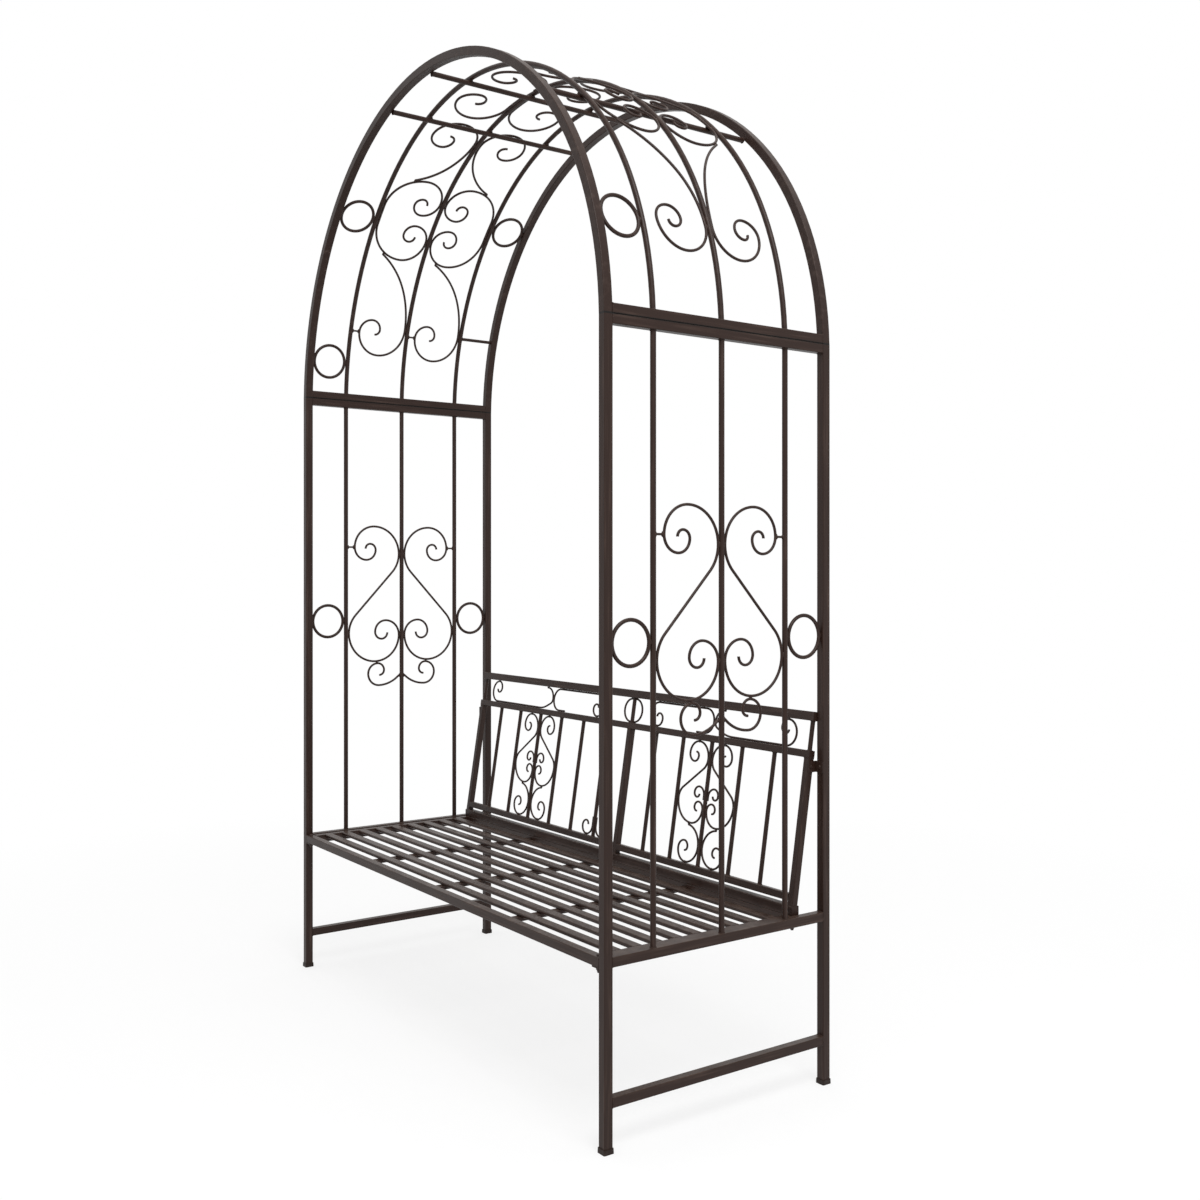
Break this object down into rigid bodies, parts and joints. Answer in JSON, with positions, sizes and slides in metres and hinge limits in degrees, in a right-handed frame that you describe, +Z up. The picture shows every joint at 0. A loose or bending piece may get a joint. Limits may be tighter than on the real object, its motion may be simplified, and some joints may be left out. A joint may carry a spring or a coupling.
{
  "type": "arbor bench",
  "caption": "Metal garden arbor: an arched roof of rods and scrolls on two barred side panels, with a slatted bench and a leaning scrolled back between them.",
  "frame": {"origin": "on the floor, in the middle of the four feet", "axes": "+Z up, the open front of the bench faces -Y, the width of the bench runs along X"},
  "size_m": [1.454, 0.604, 2.303],
  "materials": {
    "frame_coat": "dark espresso-brown powder coat, satin, faintly streaked along the tubes",
    "fastener_coat": "same dark brown coat on bolts, nuts and screws, slightly glossier",
    "foot_plastic": "dark brown plastic end caps, matt"
  },
  "bodies": {
    "root": {"back_band_bars": "frame_coat", "back_band_scrolls": "frame_coat", "back_bottom_rails": "frame_coat", "back_brackets": "frame_coat", "back_foot_rail": "frame_coat", "back_left_bars": "frame_coat", "back_left_scrolls": "frame_coat", "back_left_stile": "frame_coat", "back_middle_rail": "frame_coat", "back_middle_stile": "frame_coat", "back_right_bars": "frame_coat", "back_right_scrolls": "frame_coat", "back_right_stile": "frame_coat", "back_screws": "fastener_coat", "back_top_rail": "frame_coat", "crown_scrolls": "frame_coat", "dome_nuts": "fastener_coat", "foot_caps": "foot_plastic", "front_arch": "frame_coat", "front_arch_rod": "frame_coat", "joint_sleeves": "frame_coat", "left_arch_rail": "frame_coat", "left_c_roof_scrolls": "frame_coat", "left_front_post": "frame_coat", "left_low_roof_scrolls": "frame_coat", "left_panel_bars": "frame_coat", "left_panel_scrolls": "frame_coat", "left_panel_seat_rail": "frame_coat", "left_panel_top_rail": "frame_coat", "left_rear_post": "frame_coat", "left_roof_spacer": "frame_coat", "left_stretcher": "frame_coat", "left_upper_roof_scrolls": "frame_coat", "middle_arch_rod": "frame_coat", "panel_rings": "frame_coat", "rear_arch": "frame_coat", "rear_arch_rod": "frame_coat", "right_arch_rail": "frame_coat", "right_c_roof_scrolls": "frame_coat", "right_front_post": "frame_coat", "right_low_roof_scrolls": "frame_coat", "right_panel_bars": "frame_coat", "right_panel_scrolls": "frame_coat", "right_panel_seat_rail": "frame_coat", "right_panel_top_rail": "frame_coat", "right_rear_post": "frame_coat", "right_stretcher": "frame_coat", "right_upper_roof_scrolls": "frame_coat", "roof_purlins": "frame_coat", "roof_rings": "frame_coat", "seat_bolts": "fastener_coat", "seat_brackets": "frame_coat", "seat_cross_bars": "frame_coat", "seat_front_rail": "frame_coat", "seat_left_rail": "frame_coat", "seat_rear_rail": "frame_coat", "seat_right_rail": "frame_coat", "seat_slats": "frame_coat", "tube_end_plates": "frame_coat"}
  },
  "joints": []
}
